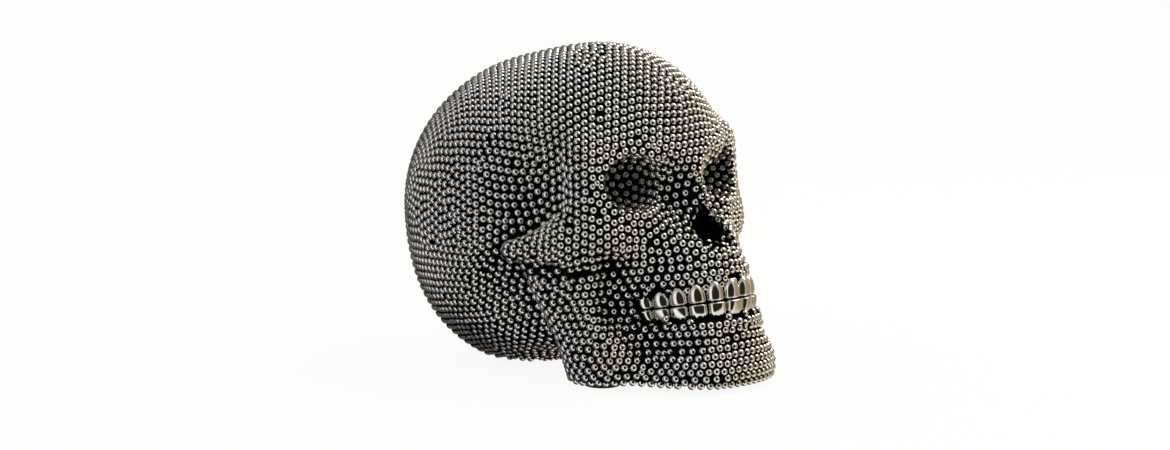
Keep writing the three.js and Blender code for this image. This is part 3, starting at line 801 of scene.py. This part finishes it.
def push_apart(p, others, reach):
    """Push on each point from the others within reach, (reach - distance) long, and the nearest distance.

    The others are sorted by their grid cell, so each point looks only into the 27 cells around it."""
    low = np.minimum(p.min(0), others.min(0)) - 2 * reach
    cell = np.floor((p - low) / reach).astype(np.int64)
    other_cell = np.floor((others - low) / reach).astype(np.int64)
    size = np.maximum(cell.max(0), other_cell.max(0)) + 2
    strides = np.array([size[1] * size[2], size[2], 1])
    key = cell @ strides
    order = np.argsort(other_cell @ strides, kind="stable")
    sorted_key = np.append((other_cell @ strides)[order], -1)
    push = np.zeros_like(p)
    nearest = np.full(len(p), float(reach))
    around = np.stack(np.meshgrid(*[[-1, 0, 1]] * 3, indexing="ij"), -1).reshape(-1, 3) @ strides
    for shift in around:
        first = np.searchsorted(sorted_key[:-1], key + shift)
        for step in range(MOST_IN_CELL):
            at = np.minimum(first + step, len(others))
            found = np.flatnonzero(sorted_key[at] == key + shift)
            away = p[found] - others[order[at[found]]]
            distance = np.linalg.norm(away, axis=1)
            close = (distance > 1e-6) & (distance < reach)
            found, away, distance = found[close], away[close], distance[close]
            push[found] += away * ((reach - distance) / distance)[:, None]
            nearest[found] = np.minimum(nearest[found], distance)
    return push, nearest


# %% Settling, thinning and refilling
ROW_PULL = 0.12
LOOK_REACH = 1.3
ROUNDS = 18


def lattice_on_skin(step):
    """Points of a lattice, every second layer shifted by half a step, dropped onto the skin near them."""
    low = np.array(cad_box[0]) / MM - FORM_SHIFT
    high = np.array(cad_box[1]) / MM - FORM_SHIFT
    x, y, z = np.meshgrid(*[np.arange(a, b, step) for a, b in zip(low, high)], indexing="ij")
    shift = step / 2 * (np.arange(z.shape[2]) % 2)
    p = np.column_stack([(x + shift).ravel(), (y + shift).ravel(), z.ravel()])
    return onto(head, p[np.abs(head(p)) < step / 2], 0.0)


def settle(p, rounds, row_pull, reach, push_share):
    """Rounds of pushing apart, drawing to rows and dropping onto the skin; reach in stud spacings."""
    for _ in range(rounds):
        normal = normal_of(head, p)
        push, _nearest = push_apart(p, p, reach * STUD_SPACING)
        upright = smooth_share(p[:, 2], LEVEL_BELOW, UPRIGHT_ABOVE)[:, None]
        near_rim = 1 - smooth_share(rim_distance(p), RIM_NEAR, RIM_FAR)[:, None]
        pull = upright * way_to_row(upright_rows, p, normal)
        pull += (1 - upright) * way_to_row(level_rows, p, normal)
        pull += near_rim * (way_to_row(rim_distance, p, normal) - pull)
        move = push_share * push + row_pull * pull
        move -= normal * (move * normal).sum(1)[:, None]
        p = onto(head, p + move, 0.0, steps=1)
    return onto(head, p, 0.0)


def thin(p, least):
    """Points without the later one of each pair that is closer than least."""
    tight = np.flatnonzero(push_apart(p, p, least)[1] < least)
    gap = np.linalg.norm(p[tight][:, None] - p[tight][None], axis=2)
    return np.delete(p, tight[np.tril(gap < least, -1).any(1)], axis=0)


def refill(p, grains, reach):
    """Points with a new one in each hole: the roomiest grain among those with none within reach."""
    room = push_apart(grains, p, LOOK_REACH * reach)[1]
    spots, room = grains[room > reach], room[room > reach]
    rank = np.argsort(np.argsort(room, kind="stable"))
    gap = np.linalg.norm(spots[:, None] - spots[None], axis=2)
    beaten = ((gap < reach) & (rank[None] > rank[:, None])).any(1)
    return np.concatenate([p, spots[~beaten]])


# %% Set the studs
LEAST_SPACING = 0.76 * STUD_SPACING
HOLE_REACH = 0.8 * STUD_SPACING
SMALL_HOLE_REACH = 0.69 * STUD_SPACING
LATTICE_STEP = 3.25
GRAIN_STEP = 0.55 * STUD_SPACING
FINE_GRAIN_STEP = 0.33 * STUD_SPACING
REFILLS = 4
SPREAD_FIRST = {"reach": 1.55, "push_share": 0.07}
SPREAD_IN_ROWS = {"reach": 1.35, "push_share": 0.12}
SPREAD_LAST = {"reach": 1.2, "push_share": 0.2}

skin_grains = lattice_on_skin(GRAIN_STEP)
skin_points = settle(lattice_on_skin(LATTICE_STEP), ROUNDS // 2, 0.0, **SPREAD_FIRST)
for _refill in range(REFILLS):
    skin_points = settle(skin_points, ROUNDS, ROW_PULL, **SPREAD_IN_ROWS)
    skin_points = refill(thin(skin_points, LEAST_SPACING), skin_grains, HOLE_REACH)
skin_points = thin(settle(skin_points, ROUNDS, ROW_PULL, **SPREAD_LAST), LEAST_SPACING)
skin_points = refill(skin_points, lattice_on_skin(FINE_GRAIN_STEP), SMALL_HOLE_REACH)
print(len(skin_points), "places for studs on the skin")

# %% Leave the teeth, the nose opening and the resting faces bare
REST_BAND = 1.2
CROWN_REACH = 0.5
CROWN_DEPTH_REACH = 1.5 * TOOTH_DEPTH
NOSE_BARE_Y = -54.0
NOSE_BARE_NEAR = 0.3
FACING_DOWN = -0.93


def on_crown(p):
    """Whether each point lies on a crown, or nearer to its outline than a stud needs."""
    height = over_bite(p)
    hit = np.zeros(len(p), bool)
    for x, back, turn in zip(place_x, place_back, place_turn):
        out = np.abs(p[:, 0]) - x
        behind = way_back(p) - back
        across = np.abs(out * np.cos(turn) + behind * np.sin(turn))
        inward = np.abs(behind * np.cos(turn) - out * np.sin(turn))
        rows = ((upper_crown(back), UPPER_ARCH, 1), (LOWER_CROWN, LOWER_ARCH, -1))
        for crown, arch, side in rows:
            share = (side * height - CROWN_REACH) / crown
            half_width = tooth_pitch / 2 * crown_arch(share.clip(0, 1), *arch) + CROWN_REACH
            in_outline = (side * height > 0) & (share < 1) & (across < half_width)
            hit |= in_outline & (inward < CROWN_DEPTH_REACH)
    return hit


normals = normal_of(head, skin_points)
underside = (normals[:, 2] < FACING_DOWN) & (skin_points[:, 2] < FLOOR_CLEARANCE + REST_BAND)
_socket, nose_opening = face_hollows(mirrored(skin_points))
deep_in_nose = (nose_opening < NOSE_BARE_NEAR) & (skin_points[:, 1] > NOSE_BARE_Y)
kept = ~(underside | on_crown(skin_points) | deep_in_nose)
skin_points, normals = skin_points[kept], normals[kept]
_push, spacing = push_apart(skin_points, skin_points, LOOK_REACH * STUD_SPACING)
print(len(skin_points), "studs kept, median spacing", round(float(np.median(spacing)), 2), "mm")

# %% [markdown]
# ## The studs themselves
# A stud is a ball sunk to about its middle in the ground. There are thousands, so each has only a few
# dozen faces: three rings and two poles, shaded with the ball's own normals, which gives a clean dome.
# All studs of a region are one mesh, made by turning one small ball into every stud's own axes at once.
# For the antique finish each point of a stud keeps its height over the ground, and each stud a tone of
# its own. In hollows, where the head comes close in front of a stud, its points count as lower: this is
# painted shade, together with the black wash that gathers there. Under the braincase, studs that face
# down count as lower as well, which is painted shade only.

# %% One ball, turned into every place
RING_ANGLES = np.radians([30.0, 58.0, 88.0])
RING_SIDES = 10
SEED = 31
CROWDED_SHARE = 0.58
RADIUS_SPREAD = 0.025
RADIUS_RANGE = (0.93, 1.06)
# Painted shade in hollows, together with the black wash that gathers there
HOLLOW_REACH = 12.0
HOLLOW_FROM = 0.1
HOLLOW_SHADE_AND_WASH = 0.36
MOST_SHADE_AND_WASH = 0.16
# Painted shade under the braincase, on studs behind the face that face down
UNDER_PAINTED_SHADE = 0.28
UNDER_SHADE_FROM = 0.15
UNDER_SHADE_TO = 0.75
UNDER_SHADE_FACE_Y = -15.0
UNDER_SHADE_BACK_Y = 5.0


def ball():
    """Unit ball as top pole, rings at the given angles from the top and bottom pole; with its faces."""
    turn = 2 * np.pi * np.arange(RING_SIDES) / RING_SIDES
    angle, turn = (grid.ravel() for grid in np.meshgrid(RING_ANGLES, turn, indexing="ij"))
    rings = np.column_stack([np.sin(angle) * np.cos(turn), np.sin(angle) * np.sin(turn), np.cos(angle)])
    points = np.concatenate([[[0, 0, 1]], rings, [[0, 0, -1]]])
    return points, *stacked_faces(len(RING_ANGLES), RING_SIDES)


def stud_piece(name, chosen, radius, tone, wash):
    """All chosen studs as one mesh: centre + radius times the unit ball in axes along the skin's normal."""
    points, triangles, quads = ball()
    normal = normals[chosen]
    helper = np.where(np.abs(normal[:, 2:]) < 0.9, [[0, 0, 1.0]], [[1.0, 0, 0]])
    right = np.cross(helper, normal)
    right /= np.linalg.norm(right, axis=1)[:, None]
    ahead = np.cross(normal, right)
    size = radius[chosen]
    centre = skin_points[chosen] - normal * size[:, None]
    axes = np.stack([right, ahead, normal], 1)
    outward = np.einsum("vk,skj->svj", points, axes)
    vertices = centre[:, None, :] + size[:, None, None] * outward
    first = len(points) * np.arange(len(normal))
    faces = (triangles[None] + first[:, None, None]).reshape(-1, 3).tolist()
    faces += (quads[None] + first[:, None, None]).reshape(-1, 4).tolist()
    piece = mesh_piece(name, vertices.reshape(-1, 3), faces, STUDS)
    piece.data.normals_split_custom_set_from_vertices(outward.reshape(-1, 3))
    over_ground = 1 - (1 - points[:, 2]) * STUD_RADIUS / GROUND_DEPTH
    # The wash lowers each stud's height: painted shade in hollows and under the braincase, with the real wash
    # in hollows
    keep_on_points(piece, "height", over_ground[None, :] - wash[chosen][:, None])
    keep_on_points(piece, "tone", np.repeat(tone[chosen], len(points)))
    return piece


rng = np.random.default_rng(SEED)
unlike = rng.normal(1.0, RADIUS_SPREAD, len(spacing)).clip(*RADIUS_RANGE)
stud_radius = np.minimum(STUD_RADIUS, CROWDED_SHARE * spacing) * unlike
stud_tone = rng.random(len(spacing))
# Painted shade in hollows, with the wash gathered there: darker where the head comes close in front of a stud
hollow = 1 - head(skin_points + HOLLOW_REACH * normals) / HOLLOW_REACH
stud_shade_and_wash = (HOLLOW_SHADE_AND_WASH * (hollow - HOLLOW_FROM)).clip(0, MOST_SHADE_AND_WASH)
on_jaw = lower_jaw(skin_points) < cranium(skin_points)
# Painted shade: braincase studs behind the face get darker the more they face down
shade_behind_face = np.where(on_jaw, 0, smooth_share(skin_points[:, 1], UNDER_SHADE_FACE_Y, UNDER_SHADE_BACK_Y))
stud_shade_and_wash += UNDER_PAINTED_SHADE * shade_behind_face * smooth_share(-normals[:, 2], UNDER_SHADE_FROM, UNDER_SHADE_TO)
on_right = skin_points[:, 0] < 0
stud_piece("studs_cranium_right", ~on_jaw & on_right, stud_radius, stud_tone, stud_shade_and_wash)
stud_piece("studs_cranium_left", ~on_jaw & ~on_right, stud_radius, stud_tone, stud_shade_and_wash)
stud_piece("studs_jaw", on_jaw, stud_radius, stud_tone, stud_shade_and_wash)

# %% [markdown]
# ## Teeth
# Each tooth is a smooth plated crown, broad at the bite and closed over the gum: in a tall arch in the
# upper row, and in a shallow bow in the lower one. It is stacked from rings and bulges like a barrel,
# which bends the reflections. The crowns stand side by side at equal steps along the arch and nearly
# touch.

# %% One crown
CROWN_COLUMNS = 32
CROWN_ROWS = 28
CROWN_TUCK = 1.1
BITE_EDGE = 0.13


def soft_power(value, power):
    """Value raised to a power with its sign kept."""
    return np.sign(value) * np.abs(value) ** power


def crown_surface(width, depth, height, arch, bulge_at, bulge, power):
    """Crown in width, depth and height as rings from the gum down to the biting edge; with its faces.

    The ring at height share t takes cos u and sin u to a power: 1 gives an ellipse, less a fuller box.
    Its size rises over a rounded biting edge, (1 - (1 - t / BITE_EDGE)^3)^(1/3), and closes over the
    gum: the width with the crown's arch, the depth with the arch's square root, so later. The depth is
    largest at bulge_at and falls off from there by bulge (t - bulge_at)^2, like a barrel."""
    t = (1 + np.cos(np.pi * np.arange(1, CROWN_ROWS) / CROWN_ROWS)) / 2
    u = 2 * np.pi * np.arange(CROWN_COLUMNS) / CROWN_COLUMNS
    t, u = (grid.ravel() for grid in np.meshgrid(t, u, indexing="ij"))
    edge = (1 - np.maximum(1 - t / BITE_EDGE, 0) ** 3) ** (1 / 3)
    closing = crown_arch(t, *arch)
    x = width / 2 * edge * closing * soft_power(np.cos(u), power)
    barrel = 1 - bulge * (t - bulge_at) ** 2
    y = depth / 2 * edge * np.sqrt(closing) * barrel * soft_power(np.sin(u), power)
    points = np.concatenate([[[0, 0, height]], np.column_stack([x, y, height * t]), [[0, 0, 0]]])
    triangles, quads = stacked_faces(CROWN_ROWS - 1, CROWN_COLUMNS)
    return points, triangles.tolist() + quads.tolist()


# %% Both rows of teeth
TOOTH_PROUD = {"upper": 1.2, "lower": 1.5}
CROWN_SPACE = 0.05
GUM_LINE = (1.04, 1.2)
UPPER_SHAPE = {"arch": UPPER_ARCH, "bulge_at": 0.5, "bulge": 0.5, "power": 0.95}
LOWER_SHAPE = {"arch": LOWER_ARCH, "bulge_at": 0.0, "bulge": 0.65, "power": 0.65}


def tooth_piece(row, side, number, x, back, turn):
    """One tooth, made upright, turned along the arch and tilted onto the bite, in place of its CAD node."""
    is_upper = row == "upper"
    way = -1 if side == "right" else 1
    crown = float(upper_crown(back)) if is_upper else LOWER_CROWN
    depth = TOOTH_DEPTH + 2 * TOOTH_PROUD[row]
    shape = UPPER_SHAPE if is_upper else LOWER_SHAPE
    points, faces = crown_surface(tooth_pitch - CROWN_SPACE, depth, crown + CROWN_TUCK, **shape)
    height = 1 - smooth_share(points[:, 2] / crown, *GUM_LINE)
    points[:, 2] += TOOTH_GAP / 4
    if not is_upper:
        points[:, 1:] *= -1
    cos_turn, sin_turn = np.cos(way * turn), np.sin(way * turn)
    across = points[:, 0] * cos_turn - points[:, 1] * sin_turn + way * x
    inward = points[:, 0] * sin_turn + points[:, 1] * cos_turn + back
    placed = np.column_stack([
        across,
        BITE_FRONT_Y + inward * np.cos(BITE_TILT) + points[:, 2] * np.sin(BITE_TILT),
        BITE_FRONT_Z - inward * np.sin(BITE_TILT) + points[:, 2] * np.cos(BITE_TILT),
    ])
    node = f"tooth_{row}_{side}_{number}"
    piece = mesh_piece(f"crown_{row}_{side}_{number}", placed, faces, TEETH)
    keep_on_points(piece, "height", height)
    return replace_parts(piece, node)


for row_name in ("upper", "lower"):
    for side_name in ("right", "left"):
        for index, placing in enumerate(zip(place_x, place_back, place_turn)):
            tooth_piece(row_name, side_name, index + 1, *placing)

# %% [markdown]
# ## Felt pads and the hidden pegs
# Four felt discs keep the casting off the table. A disc is a profile turned round its axis, with a soft
# rounded edge. The pegs inside the seam are CAD pieces and only take their resin finish.

# %% Felt pads
PAD_SIDES = 48
PAD_EDGE = 0.45
PAD_EDGE_STEPS = 5
PAD_INNER_RINGS = np.array([0.35, 0.7])


def pad_piece(node):
    """Disc of the CAD pad's size: a flat profile with quarter-round edges, turned round the pad's axis."""
    low, high = (np.array(corner) / MM - FORM_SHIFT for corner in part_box(node))
    centre = (low + high) / 2
    radius = (high[0] - low[0]) / 2
    half = (high[2] - low[2]) / 2
    bend = np.linspace(0, np.pi / 2, PAD_EDGE_STEPS)
    edge_out = radius - PAD_EDGE + PAD_EDGE * np.sin(bend)
    edge_up = half - PAD_EDGE + PAD_EDGE * np.cos(bend)
    inner = PAD_INNER_RINGS * radius
    out = np.concatenate([inner, edge_out, edge_out[::-1], inner[::-1]])
    up = np.concatenate([[half] * 2, edge_up, -edge_up[::-1], [-half] * 2])
    turn = 2 * np.pi * np.arange(PAD_SIDES) / PAD_SIDES
    level = np.repeat(up[:, None], PAD_SIDES, 1)
    rings = np.stack([out[:, None] * np.cos(turn), out[:, None] * np.sin(turn), level], -1)
    points = np.concatenate([[[0, 0, half]], rings.reshape(-1, 3), [[0, 0, -half]]]) + centre
    triangles, quads = stacked_faces(len(out), PAD_SIDES)
    piece = mesh_piece(f"felt_{node}", points, triangles.tolist() + quads.tolist(), FELT)
    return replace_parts(piece, node)


for pad_name in ("pad_chin", "pad_jaw_right", "pad_jaw_left", "pad_back"):
    pad_piece(pad_name)
for peg_name in ("jaw_peg_right", "jaw_peg_left"):
    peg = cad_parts[peg_name].data
    peg.materials.clear()
    peg.materials.append(RESIN)

# %% [markdown]
# ## Floor and light
# The picture is a cut-out on white. A pale, slightly warm floor gives that white to the camera and keeps
# a soft shadow. The room is a white tent with a dark opening round the camera, which gives each polished
# stud its bright ring and dark middle, and with something brown beside the opening, which shows in the
# front teeth. It is grey overhead and dark behind and in the skull's own shade. Mirrors see it run on
# below, beige in front, in place of the floor, so that the dark middles stay round.

# %% Floor
FLOOR_HALF = 8.0
FLOOR_GLOW = 0.92
FLOOR_COLOUR = (0.93, 0.89, 0.83, 1)
WHITE = (1, 1, 1, 1)


def floor_finish():
    """White floor: for the camera mostly even white, with a share that takes light and shadow."""
    material = bpy.data.materials.new("pale_floor")
    material.use_nodes = True
    tree = material.node_tree
    tree.nodes.clear()
    diffuse = add_node(tree, "ShaderNodeBsdfDiffuse", Color=FLOOR_COLOUR)
    glow = add_node(tree, "ShaderNodeEmission", Color=WHITE, Strength=1.0)
    path = tree.nodes.new("ShaderNodeLightPath").outputs
    seen = maths(tree, "MAXIMUM", path["Is Camera Ray"], path["Is Transmission Ray"])
    surface = mix_shader(tree, maths(tree, "MULTIPLY", seen, FLOOR_GLOW), diffuse, glow)
    out = tree.nodes.new("ShaderNodeOutputMaterial")
    tree.links.new(surface.outputs[0], out.inputs["Surface"])
    return material


floor_mesh = bpy.data.meshes.new("floor")
corners = np.array([[-1, -1, 0], [1, -1, 0], [1, 1, 0], [-1, 1, 0]]) * FLOOR_HALF
floor_mesh.from_pydata(corners, [], [[0, 1, 2, 3]])
floor_mesh.materials.append(floor_finish())
floor = bpy.data.objects.new("floor", floor_mesh)
bpy.context.scene.collection.objects.link(floor)
floor.visible_glossy = False
print("floor is", 2 * FLOOR_HALF, "m wide")

# %% Parts of the tent
ROOM_FOR_DIFFUSE = 0.85
# A part of the tent is the way to its middle, and the cosines from it at which it starts and is full
OPENING = ((-0.58, -0.8, 0.12), 0.64, 0.78)
OPENING_DARK = (0.02, 0.016, 0.011, 1)
BROWN_SIDE = ((0.76, -0.64, 0.08), 0.6, 0.95)
BROWN = (0.36, 0.28, 0.16, 1)
REAR = ((0.22, 0.92, -0.32), -0.15, 0.5)
REAR_GREY = (0.12, 0.118, 0.115, 1)
SHADE = ((-0.1, 0.6, -0.79), 0.42, 0.7)
SHADE_GREY = (0.09, 0.086, 0.08, 1)
TOP = ((0, 0, 1), 0.25, 0.95)
TOP_GREY = (0.38, 0.372, 0.365, 1)
TABLE = ((0.35, -0.45, -0.82), 0.5, 0.9)
TABLE_BEIGE = (0.9, 0.82, 0.7, 1)


def lobe(tree, direction, axis, low, high):
    """Share from 0 to 1 as a direction turns towards an axis, between two cosines."""
    dot = tree.nodes.new("ShaderNodeVectorMath")
    dot.operation = "DOT_PRODUCT"
    tree.links.new(direction, dot.inputs[0])
    dot.inputs[1].default_value = axis
    return ramp(tree, dot.outputs["Value"], low, high, 0.0, 1.0)


# %% The tent as the world
def room():
    """World: white to the camera; for mirrors a tent with white sides and dark, brown and beige parts."""
    world = bpy.data.worlds.new("white_tent")
    world.use_nodes = True
    tree = world.node_tree
    tree.nodes.clear()
    direction = tree.nodes.new("ShaderNodeTexCoord").outputs["Generated"]
    tent = WHITE
    for part, colour in ((TOP, TOP_GREY), (REAR, REAR_GREY), (TABLE, TABLE_BEIGE),
                         (SHADE, SHADE_GREY), (BROWN_SIDE, BROWN), (OPENING, OPENING_DARK)):
        tent = mix_colour(tree, lobe(tree, direction, *part), tent, colour)
    mirrored_light = add_node(tree, "ShaderNodeBackground", Strength=1.0)
    tree.links.new(tent, mirrored_light.inputs["Color"])
    soft_light = add_node(tree, "ShaderNodeBackground", Color=WHITE, Strength=ROOM_FOR_DIFFUSE)
    seen_light = add_node(tree, "ShaderNodeBackground", Color=WHITE, Strength=1.0)
    path = tree.nodes.new("ShaderNodeLightPath").outputs
    unseen = mix_shader(tree, path["Is Glossy Ray"], soft_light, mirrored_light)
    surface = mix_shader(tree, path["Is Camera Ray"], unseen, seen_light)
    out = tree.nodes.new("ShaderNodeOutputWorld")
    tree.links.new(surface.outputs[0], out.inputs["Surface"])
    return world


bpy.context.scene.world = room()
print("tent has", len(bpy.context.scene.world.node_tree.nodes), "nodes")

# %% One softbox and the view
SOFTBOX_PLACE = (0.5, -0.3, 1.0)
SOFTBOX_AIM = (0, 0, 0.06)
SOFTBOX_SIZE = 0.8
SOFTBOX_POWER = 4.0


def softbox(name, place, aim, size, power):
    """Square lamp at a place, turned to a point, all in metres."""
    data = bpy.data.lights.new(name, "AREA")
    data.size = size
    data.energy = power
    lamp = bpy.data.objects.new(name, data)
    lamp.location = place
    lamp.rotation_euler = (Vector(aim) - Vector(place)).to_track_quat("-Z", "Y").to_euler()
    bpy.context.scene.collection.objects.link(lamp)
    return lamp


softbox("overhead_softbox", SOFTBOX_PLACE, SOFTBOX_AIM, SOFTBOX_SIZE, SOFTBOX_POWER)
bpy.context.scene.view_settings.view_transform = "Standard"

# %% [markdown]
# ## Update the scene

# %% Update the scene
bpy.context.view_layer.update()
